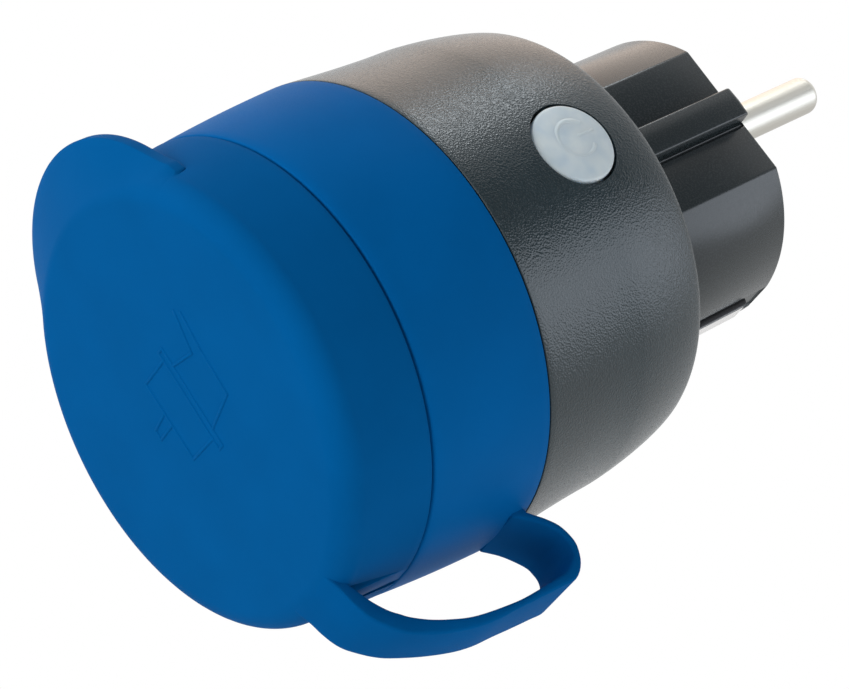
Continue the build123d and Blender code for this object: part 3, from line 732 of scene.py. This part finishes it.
# %% Sizes of the lid and its tab
EDGE_ROUND = 3.0
TAB_WALL = 1.6
TAB_FRONT_Y = LID_FACE_Y + 3.1
TAB_HALF = math.radians(49.5)
TAB_CIRCLE = LID_EDGE_RADIUS - 6.5
TAB_CENTRE = 12.1
TAB_STEP = 0.55
TAB_CORNER = 0.22
TAB_EASE = 1.2
SKIRT_SLOPE = 0.107
arc_count = 10
slope_count = 5
corner_count = 4
back_count = 3
round_centre = LID_EDGE_RADIUS - EDGE_ROUND
print("points along the lid's edge:", arc_count + slope_count + 2 * corner_count + back_count)

# %% Helpers for the lid's edge


def tab_reach(angle):
    """Radius of the tab's rim at an angle from the top, never quite down to the skirt."""
    across = TAB_CENTRE * math.sin(angle)
    disc = TAB_CENTRE * math.cos(angle) + math.sqrt(TAB_CIRCLE**2 - across**2)
    fade = min(1.0, max(0.0, (TAB_HALF - abs(angle)) / math.radians(3.0)))
    least = LID_EDGE_RADIUS + 0.15 + TAB_STEP * fade
    share = min(1.0, max(0.0, 0.5 + 0.5 * (disc - least) / TAB_EASE))
    return disc * share + least * (1 - share) + TAB_EASE * share * (1 - share)


def round_edge(angle):
    """Point of the lid's round edge, at an angle from the face towards the skirt."""
    radius = round_centre + EDGE_ROUND * math.sin(angle)
    return radius, LID_FACE_Y + EDGE_ROUND * (1 - math.cos(angle))


def plain_edge_points():
    """Points of the lid's round edge and the first of its skirt, spaced like the tab's points."""
    points = [round_edge(math.radians(60) * index / (arc_count - 1)) for index in range(arc_count)]
    left_over = slope_count + 2 * corner_count
    for index in range(left_over):
        points.append(round_edge(math.radians(60 + 30 * (index + 1) / left_over)))
    for index in range(back_count):
        along = (TAB_FRONT_Y + TAB_WALL - LID_FACE_Y - EDGE_ROUND) * (index + 1) / back_count
        points.append((LID_EDGE_RADIUS + SKIRT_SLOPE * along, LID_FACE_Y + EDGE_ROUND + along))
    return points


def corner_points(radius, y, first, last):
    """Round corner of the rim, between two angles from the outward direction."""
    points = []
    for index in range(corner_count):
        angle = first + (last - first) * index / (corner_count - 1)
        points.append((radius + TAB_CORNER * math.cos(angle), y + TAB_CORNER * math.sin(angle)))
    return points


def tab_edge_points(angle):
    """Points of the tab at an angle, as many as the plain edge has."""
    corner_radius = tab_reach(angle) - TAB_CORNER
    corner_y = TAB_FRONT_Y + TAB_CORNER
    out, back = corner_radius - round_centre, corner_y - LID_FACE_Y - EDGE_ROUND
    lean = math.pi / 2 + math.atan2(back, out)
    leave = lean - math.acos((EDGE_ROUND - TAB_CORNER) / math.hypot(out, back))
    points = [round_edge(leave * index / (arc_count - 1)) for index in range(arc_count)]
    front_corner = corner_points(corner_radius, corner_y, leave - math.pi / 2, 0.0)
    start, finish = points[-1], front_corner[0]
    for index in range(1, slope_count + 1):
        share = index / (slope_count + 1)
        points.append(tuple(a + (b - a) * share for a, b in zip(start, finish)))
    points += front_corner
    points += corner_points(corner_radius, TAB_FRONT_Y + TAB_WALL - TAB_CORNER, 0.0, math.pi / 2)
    for index in range(back_count):
        share = (index + 1) / back_count
        radius = corner_radius + (LID_EDGE_RADIUS + 0.17 - corner_radius) * share
        points.append((radius, TAB_FRONT_Y + TAB_WALL))
    return points


tab_middle, tab_end = tab_reach(0.0), tab_reach(TAB_HALF)
print("tab reaches", round(tab_middle, 2), "mm from the axis, and", round(tab_end, 2), "at its ends")

# %% Build the lid
LID_WALL = 2.2
LID_SEAM_Y = RING_FRONT_Y - 0.3
skirt_steps = 8
skirt = []
for index in range(2, skirt_steps + 1):
    share = index / skirt_steps
    radius = LID_EDGE_RADIUS + (RING_FRONT_RADIUS - LID_EDGE_RADIUS) * share
    y = LID_FACE_Y + EDGE_ROUND + (LID_SEAM_Y - LID_FACE_Y - EDGE_ROUND) * share
    skirt.append((radius, y))
face_radii = (0.0, 7.0, 13.0, 18.0, 21.5)
lid_profile = [(radius, LID_FACE_Y) for radius in face_radii] + plain_edge_points() + skirt
inside = [
    (RING_FRONT_RADIUS - LID_WALL, LID_SEAM_Y),
    (LID_EDGE_RADIUS - LID_WALL - 0.4, LID_FACE_Y + 2.6),
    (LID_EDGE_RADIUS - LID_WALL - 1.2, LID_FACE_Y + 2.0),
    (0.0, LID_FACE_Y + 2.0),
]
bm = bmesh.new()
ring = profile_edges(bm, lid_profile + inside, closed=False)
tab_edge = math.degrees(TAB_HALF)
# Angles are from the +X side where the profile is drawn; the top of the lid is a quarter turn on.
sections = [(90 - tab_edge - 1.0, 48), (2.0, 10), (2 * tab_edge - 2.0, 96), (2.0, 10)]
sections.append((360 - sum(angle for angle, steps in sections), 200))
for angle, steps in sections:
    made = bmesh.ops.spin(
        bm, geom=ring, cent=(0, 0, 0), axis=(0, -1, 0), angle=math.radians(angle), steps=steps,
    )
    ring = made["geom_last"]
bmesh.ops.remove_doubles(bm, verts=bm.verts, dist=1e-7)
print("lid points:", len(bm.verts))

# %% Draw out the tab and finish the lid
plain_points = plain_edge_points()
index_of = {(round(r, 3), round(y, 3)): i for i, (r, y) in enumerate(plain_points)}
moved = 0
for vert in bm.verts:
    x, y, z = vert.co / MM
    radius = math.hypot(x, z)
    angle = math.atan2(x, z)
    share = min(1.0, max(0.0, (TAB_HALF - abs(angle)) / math.radians(1.2) + 0.5))
    found = index_of.get((round(radius, 3), round(y, 3)))
    if share > 0 and found is not None:
        eased = share * share * (3 - 2 * share)
        tab_radius, tab_y = tab_edge_points(max(-TAB_HALF, min(TAB_HALF, angle)))[found]
        new_radius = radius + (tab_radius - radius) * eased
        new_y = y + (tab_y - y) * eased
        vert.co = Vector((new_radius * math.sin(angle), new_y, new_radius * math.cos(angle))) * MM
        moved += 1
print("lid points drawn out into the tab:", moved)
face_out(bm)
round_edges(bm, ring_edges(bm, RING_FRONT_RADIUS, LID_SEAM_Y), 0.25)
lid = make_piece(bm, "lid_shell", lid_blue)

# %% Cut the gap for the tongue
# The cutter is a wedge: four corners are placed one by one and drawn down through the skirt.
bm = bmesh.new()
bmesh.ops.create_grid(bm, x_segments=1, y_segments=1, size=1.0)
cut_half_seam, cut_half_face = 1.58, 3.2
cut_face_y = LID_FACE_Y + EDGE_ROUND
for vert in bm.verts:
    at_seam = vert.co.y > 0
    side = math.copysign(1.0, vert.co.x)
    half = cut_half_seam if at_seam else cut_half_face
    y = LID_SEAM_Y + 1.0 if at_seam else cut_face_y
    vert.co = Vector((side * half, y, -22.0)) * MM
low = bmesh.ops.extrude_face_region(bm, geom=bm.faces[:])
bmesh.ops.translate(bm, verts=drawn_verts(low), vec=(0, 0, -12 * MM))
face_out(bm)
cut_away(lid, bm)
seat(lid, "cover", "lid_blue", "lid")

# %% [markdown]
# ## Raised plug pictogram
# A thin line drawing of a plug stands an eighth of a millimetre proud of the lid. Each stroke is a
# sphere pulled into a capsule and pressed flat: half of its vertices move to the stroke's far end,
# so the ends stay round like a moulded line.

# %% Build the pictogram
LINE_RADIUS = 0.2
strokes = [
    [(3.9, 6.2), (2.9, -6.4), (1.9, -6.4), (2.9, 6.2), (3.9, 6.2)],
    [(2.9, 5.2), (-2.8, 5.5), (-3.5, -4.5), (2.1, -5.0)],
    [(-3.0, 1.6), (-6.6, 1.3), (-6.7, 0.1), (-3.2, 0.0)],
    [(3.7, 3.9), (8.2, 2.8), (10.0, 7.4)],
    [(3.1, -4.3), (9.3, -3.4), (9.9, 1.9), (10.9, 6.6)],
]


def capsule(bm, start, end, radius_mm, flat, turn):
    """Round ended stroke between two points in millimetres, pressed to a share of its height."""
    start, end = Vector(start) * MM, Vector(end) * MM
    made = bmesh.ops.create_uvsphere(bm, u_segments=12, v_segments=9, radius=radius_mm * MM)
    verts = made["verts"]
    far = [vert for vert in verts if vert.co.z > 1e-9]
    bmesh.ops.translate(bm, verts=far, vec=(0, 0, (end - start).length))
    bmesh.ops.scale(bm, verts=verts, vec=(1, flat, 1))
    along = (end - start).normalized()
    across = turn.cross(along).normalized()
    axes = Matrix((across, turn, along)).transposed().to_4x4()
    bmesh.ops.transform(bm, verts=verts, matrix=Matrix.Translation(start) @ axes)


bm = bmesh.new()
for points in strokes:
    for (x1, z1), (x2, z2) in zip(points, points[1:]):
        capsule(bm, (x1, LID_FACE_Y, z1), (x2, LID_FACE_Y, z2), LINE_RADIUS, 0.6, Vector((0, 1, 0)))
face_out(bm)
emblem = make_piece(bm, "lid_pictogram", lid_blue)
seat(emblem, "cover", "lid_blue")

# %% [markdown]
# ## Strap and finger loop
# The strap leaves the lid's lower edge, runs back below the ring and curls up again to its root, so
# it is both hinge and carrying loop. It is a flat band: one short edge is carried along the path by
# extruding it station by station, which keeps clean quads for bending. Its width narrows away from
# both roots.

# %% The strap's course
strap_inner = [
    (-78.2, -24.4), (-77.7, -26.0), (-76.9, -27.7), (-76.3, -28.9), (-75.6, -30.0), (-74.65, -31.2),
    (-73.7, -32.05), (-72.8, -32.85), (-70.9, -34.1), (-68.85, -35.15), (-66.6, -36.1), (-64.2, -36.7),
    (-60.3, -37.3), (-57.5, -37.4), (-54.6, -37.35), (-53.0, -37.25), (-51.2, -36.2), (-50.6, -35.2),
    (-50.6, -34.1), (-50.85, -33.1), (-51.9, -31.6), (-53.1, -30.3), (-54.85, -28.95),
]
strap_outer = [
    (-79.75, -23.2), (-79.7, -24.95), (-79.1, -26.9), (-78.8, -28.3), (-78.35, -29.8), (-77.8, -30.95),
    (-77.0, -32.0), (-75.6, -33.45), (-73.9, -34.65), (-70.6, -36.2), (-67.0, -37.38), (-64.0, -37.95),
    (-61.0, -38.1), (-58.0, -38.3), (-55.0, -38.45), (-52.5, -38.5), (-50.8, -37.3), (-49.8, -35.4),
    (-49.75, -33.9), (-50.2, -32.3), (-51.2, -30.9), (-52.1, -29.95), (-52.8, -29.2),
]
root_rise = [(-55.0, -27.0), (-52.95, -27.0)]
half_widths = [
    (-79.9, 4.8), (-77.5, 3.9), (-75.5, 3.5), (-72.0, 3.15), (-68.5, 3.3), (-65.0, 3.65),
    (-60.0, 4.05), (-56.5, 4.35), (-52.6, 4.65), (-48.5, 4.7),
]
STEPS_PER_SPAN = 4
STRAP_ROUND = 0.38
print("strap points given:", len(strap_inner), "inside and", len(strap_outer), "outside")

# %% Helpers for the strap


def smooth_path(points):
    """Points along a smooth curve through the given ones, on a Catmull-Rom rule."""
    ends = [points[0]] + list(points) + [points[-1]]
    path = []
    for p0, p1, p2, p3 in zip(ends, ends[1:], ends[2:], ends[3:]):
        p0, p1, p2, p3 = (Vector(p) for p in (p0, p1, p2, p3))
        for step in range(STEPS_PER_SPAN):
            t = step / STEPS_PER_SPAN
            bend = 2 * p0 - 5 * p1 + 4 * p2 - p3
            twist = 3 * p1 - p0 - 3 * p2 + p3
            path.append(0.5 * (2 * p1 + (p2 - p0) * t + bend * t * t + twist * t**3))
    path.append(Vector(points[-1]))
    return path


def strap_half_width(y):
    """Half width in millimetres at a distance along the plug, between the listed ones."""
    for (y1, half1), (y2, half2) in zip(half_widths, half_widths[1:]):
        if y <= y2:
            return half1 + (half2 - half1) * max(0.0, (y - y1) / (y2 - y1))
    return half_widths[-1][1]


def eased_half_width(y):
    """Half width averaged over a short stretch, so that the strap's sides run smooth."""
    return sum(strap_half_width(y + step * 0.5) for step in range(-5, 6)) / 11


def strap_corners(inner_point, outer_point):
    """The four corners of the band at one station, in metres."""
    corners = []
    for side, (y, z) in ((-1, inner_point), (1, inner_point), (1, outer_point), (-1, outer_point)):
        corners.append(Vector((side * eased_half_width(y), y, z)) * MM)
    return corners


# %% Build the strap
inner_path = smooth_path(strap_inner) + [Vector(root_rise[0])]
outer_path = smooth_path(strap_outer) + [Vector(root_rise[1])]
bm = bmesh.new()
first_corners = strap_corners(inner_path[0], outer_path[0])
end_face = bm.faces.new([bm.verts.new(place) for place in first_corners])
for inner_point, outer_point in zip(inner_path[1:], outer_path[1:]):
    made = bmesh.ops.extrude_discrete_faces(bm, faces=[end_face])
    end_face = made["faces"][0]
    for vert, place in zip(end_face.verts, strap_corners(inner_point, outer_point)):
        vert.co = place
close_up(bm)
round_edges(bm, sharp_edges(bm, 60), STRAP_ROUND)
strap = make_piece(bm, "strap", strap_blue)
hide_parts("strap_front", "strap_rear")
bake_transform(strap)
print("strap stations", len(inner_path), "faces", len(strap.data.polygons))

# %% [markdown]
# ## Plug insert
# The neck is a cylinder with a flat on each side, a square rib between two fine grooves down the
# middle of each flat, and a channel above and below for the earth strips. It starts as one disc:
# planes cut the flats and mark the rib and the channel, the disc is drawn out along the axis, and the
# marked faces are pushed in or pulled out. Small rounds on the long edges give the thin bright lines
# that the photograph shows.

# %% Draw out the neck
INSERT_RADIUS = 18.5
FLAT_X = 16.1
RIB_HALF = 2.05
RIB_RADIUS = 18.3
CHANNEL_HALF = 2.1
CHANNEL_Z = 18.05
GROOVE_WIDTH = 0.5
GROOVE_X = FLAT_X - 0.5
NECK_BACK_Y = RIM_Y - 1.2
RIB_END_ROUND = 0.8
NECK_ROUND = 0.24
bm = bmesh.new()
turn = Matrix.Rotation(math.pi / 2, 4, "X")
bmesh.ops.create_circle(bm, cap_ends=True, segments=192, radius=INSERT_RADIUS * MM, matrix=turn)
for side in (-1, 1):
    whole = bm.verts[:] + bm.edges[:] + bm.faces[:]
    bmesh.ops.bisect_plane(
        bm, geom=whole, plane_co=(side * FLAT_X * MM, 0, 0), plane_no=(side, 0, 0), clear_outer=True,
    )
    bmesh.ops.holes_fill(bm, edges=bm.edges[:], sides=0)
groove_z = RIB_HALF + GROOVE_WIDTH
cuts = [(Vector((0, 0, 1)), z) for z in (RIB_HALF, -RIB_HALF, 0, groove_z, -groove_z)]
cuts += [(Vector((1, 0, 0)), x) for x in (CHANNEL_HALF, -CHANNEL_HALF)]
for normal, offset in cuts:
    whole = bm.verts[:] + bm.edges[:] + bm.faces[:]
    bmesh.ops.bisect_plane(bm, geom=whole, plane_co=normal * offset * MM, plane_no=normal)
back = bmesh.ops.extrude_face_region(bm, geom=bm.faces[:])
bmesh.ops.translate(bm, verts=drawn_verts(back), vec=(0, NECK_BACK_Y * MM, 0))
face_out(bm)
print("neck length mm:", round(NECK_BACK_Y, 2), "faces", len(bm.faces))

# %% Push in and pull out the neck's faces


def side_faces(test):
    """Faces along the neck whose middle passes a test on (x, z) in millimetres."""
    found = []
    for face in bm.faces:
        middle = face.calc_center_median() / MM
        if abs(face.normal.y) < 0.5 and test(middle.x, middle.z):
            found.append(face)
    return found


def push_faces(test, move):
    """Draws out the neck's faces that pass a test, and moves each new vertex."""
    faces = side_faces(test)
    pushed = bmesh.ops.extrude_face_region(bm, geom=faces)
    bmesh.ops.delete(bm, geom=faces, context="FACES")
    for vert in drawn_verts(pushed):
        move(vert)


def to_rib(vert):
    """Puts a vertex on the rib's round back."""
    z = vert.co.z / MM
    vert.co.x = math.copysign(math.sqrt(RIB_RADIUS**2 - z * z) * MM, vert.co.x)


def to_groove(vert):
    """Puts a vertex on a groove's floor."""
    vert.co.x = math.copysign(GROOVE_X * MM, vert.co.x)


def to_channel(vert):
    """Puts a vertex on a channel's floor."""
    vert.co.z = math.copysign(CHANNEL_Z * MM, vert.co.z)


push_faces(lambda x, z: abs(x) > FLAT_X - 0.1 and abs(z) < RIB_HALF, to_rib)
push_faces(lambda x, z: abs(x) > FLAT_X - 0.1 and RIB_HALF < abs(z) < groove_z, to_groove)
push_faces(lambda x, z: abs(z) > INSERT_RADIUS - 0.5 and abs(x) < CHANNEL_HALF, to_channel)
bmesh.ops.remove_doubles(bm, verts=bm.verts, dist=1e-6)
bmesh.ops.dissolve_degenerate(bm, edges=bm.edges, dist=1e-6)
face_out(bm)
rib_ends = []
for edge in bm.edges:
    at_face = all(abs(v.co.y) < 1e-7 and abs(v.co.x) / MM > FLAT_X + 1.5 for v in edge.verts)
    if at_face and all(abs(v.co.z) / MM < RIB_HALF + 0.01 for v in edge.verts):
        rib_ends.append(edge)
round_edges(bm, rib_ends, RIB_END_ROUND, 5)
round_edges(bm, sharp_edges(bm, 22), NECK_ROUND)
insert = make_piece(bm, "plug_neck", insert_plastic)
seat(insert, "housing", "insert_plastic", "plug_insert")

# %% [markdown]
# ## Pins and earth strips
# Each pin is a turned nickel rod with a rounded tip. An earth strip is a bright plate on a near-black
# bar that stands in its channel: the bar is a block with its front end rounded over, and the plate a
# second, thinner block a little narrower than the bar, so the bar's dark edge frames it. The bar's
# near-black is painted shade, standing for the strip's side in shadow.

# %% Build the pins
PIN_RADIUS = 2.4
PIN_TIP = 19.0
TIP_ROUND = 1.15
tip_steps = 8
for name, node in (("pin_right", "live_pin"), ("pin_left", "neutral_pin")):
    low, high = box_mm(node)
    centre_x = (low.x + high.x) / 2
    profile = [(0.0, PIN_TIP)]
    for index in range(tip_steps + 1):
        angle = math.pi / 2 * index / tip_steps
        radius = PIN_RADIUS - TIP_ROUND + TIP_ROUND * math.sin(angle)
        profile.append((radius, PIN_TIP - TIP_ROUND + TIP_ROUND * math.cos(angle)))
    profile += [(PIN_RADIUS, -0.5), (0.0, -0.5)]
    bm = turned(profile, closed=False, steps=64)
    bmesh.ops.translate(bm, verts=bm.verts, vec=(centre_x * MM, 0, 0))
    pin = make_piece(bm, name, nickel)
    seat(pin, "housing", "nickel", node)

# %% Build the earth strips
strip_high = box_mm("earth_strips")[1]
strip_half = strip_high.x
strip_outer = strip_high.z
STRIP_FRONT_Y = strip_high.y - 0.3
PLATE = 0.22
PLATE_INSET = 0.22
PLATE_SHORTER = 0.8
BAR = 1.3


def strip_block(bm, side, half, front_y, outer_z, thickness, front_round):
    """Block along one channel, with a large round on its front outer edge."""
    block = bmesh.ops.create_cube(bm, size=1.0)["verts"]
    length = front_y - NECK_BACK_Y
    bmesh.ops.scale(bm, verts=block, vec=(2 * half * MM, length * MM, thickness * MM))
    middle = Vector((0, front_y - length / 2, side * (outer_z - thickness / 2))) * MM
    bmesh.ops.translate(bm, verts=block, vec=middle)
    front_edge = []
    for edge in {edge for vert in block for edge in vert.link_edges}:
        if all(v.co.y > middle.y and v.co.z * side > middle.z * side for v in edge.verts):
            front_edge.append(edge)
    round_edges(bm, front_edge, front_round, 5)


bm = bmesh.new()
for side in (-1, 1):
    strip_block(bm, side, strip_half, STRIP_FRONT_Y, strip_outer, BAR, 0.7)
face_out(bm)
round_edges(bm, sharp_edges(bm, 50), 0.12, 2)
# The bars take the near-black metal, which is painted shade for the strips' sides in shadow.
strips = make_piece(bm, "earth_contact_strips", dark_contact)
seat(strips, "housing", "dark_contact", "earth_strips")

bm = bmesh.new()
plate_half, plate_front_y = strip_half - PLATE_INSET, STRIP_FRONT_Y - PLATE_SHORTER
for side in (-1, 1):
    strip_block(bm, side, plate_half, plate_front_y, strip_outer + PLATE / 2, PLATE, 0.1)
face_out(bm)
plates = make_piece(bm, "earth_plates", plate_nickel)
seat(plates, "housing", "nickel")

# %% [markdown]
# ## Power button
# The button is a milky disc with a low dome and, barely raised on it, a ring open on one side with a
# bar in the gap. The disc is turned about its own axis, which is X. The ring is a round section spun
# part of the way round and sunk until only its crown shows, its ends closed, and the bar is a capsule
# like the pictogram's strokes.

# %% Build the button
DOME = 0.45
CAP_ROUND = 0.35
CAP_HEIGHT = 3.45
FLANGE_HEIGHT = 0.8
STEM_RADIUS = 1.5
STEM_HEIGHT = 1.2
CAP_BACK_X = BUTTON_TOP_X - DOME - CAP_HEIGHT
dome_steps = 14
profile = []
for index in range(dome_steps + 1):
    radius = (BUTTON_RADIUS - CAP_ROUND) * index / dome_steps
    profile.append((BUTTON_TOP_X - DOME * (radius / BUTTON_RADIUS) ** 2, radius))
edge_x = profile[-1][0]
for index in range(1, 5):
    angle = math.pi / 2 * index / 4
    x = edge_x - CAP_ROUND + CAP_ROUND * math.cos(angle)
    profile.append((x, BUTTON_RADIUS - CAP_ROUND + CAP_ROUND * math.sin(angle)))
flange_radius = BUTTON_RADIUS + BUTTON_FLANGE
profile += [(CAP_BACK_X, BUTTON_RADIUS), (CAP_BACK_X, flange_radius)]
profile += [(CAP_BACK_X - FLANGE_HEIGHT, flange_radius), (CAP_BACK_X - FLANGE_HEIGHT, STEM_RADIUS)]
profile += [(CAP_BACK_X - STEM_HEIGHT, STEM_RADIUS), (CAP_BACK_X - STEM_HEIGHT, 0.0)]
bm = bmesh.new()
made = [bm.verts.new((x * MM, (BUTTON_Y + radius) * MM, 0)) for x, radius in profile]
edges = [bm.edges.new(pair) for pair in zip(made, made[1:])]
centre = (0, BUTTON_Y * MM, 0)
bmesh.ops.spin(
    bm, geom=made + edges, cent=centre, axis=(1, 0, 0), angle=FULL_TURN, steps=128, use_merge=True,
)
close_up(bm)
button = make_piece(bm, "button_cap", button_milk)
seat(button, "button", "button_clear", "power_button")

# %% Build the mark on the button
MARK_RADIUS = 2.3
MARK_LINE = 0.62
MARK_SUNK = 0.56
MARK_GAP = math.radians(38)
mark_centre = Vector((0, BUTTON_Y + 0.4, 0.35)) * MM
mark_x = BUTTON_TOP_X - DOME * (MARK_RADIUS / BUTTON_RADIUS) ** 2 - MARK_SUNK
bm = bmesh.new()
place = Matrix.Translation(mark_centre + Vector((mark_x, MARK_RADIUS, 0)) * MM)
section = bmesh.ops.create_circle(bm, cap_ends=False, segments=12, radius=MARK_LINE * MM)
bmesh.ops.transform(bm, verts=section["verts"], matrix=place)
start_turn = Matrix.Rotation(MARK_GAP, 3, "X")
bmesh.ops.rotate(bm, verts=bm.verts, cent=mark_centre, matrix=start_turn)
ring = bm.verts[:] + bm.edges[:]
arc = FULL_TURN - 2 * MARK_GAP
bmesh.ops.spin(bm, geom=ring, cent=mark_centre, axis=(1, 0, 0), angle=arc, steps=60)
bmesh.ops.holes_fill(bm, edges=[e for e in bm.edges if e.is_boundary], sides=0)
bar_x = BUTTON_TOP_X - MARK_SUNK
capsule(
    bm, (bar_x - 0.02, BUTTON_Y + 1.0, 0.45), (bar_x - 0.17, BUTTON_Y + 3.2, 0.45), MARK_LINE, 1.0,
    Vector((1, 0, 0)),
)
face_out(bm)
mark = make_piece(bm, "power_mark", mark_milk)
seat(mark, "button", "button_clear")
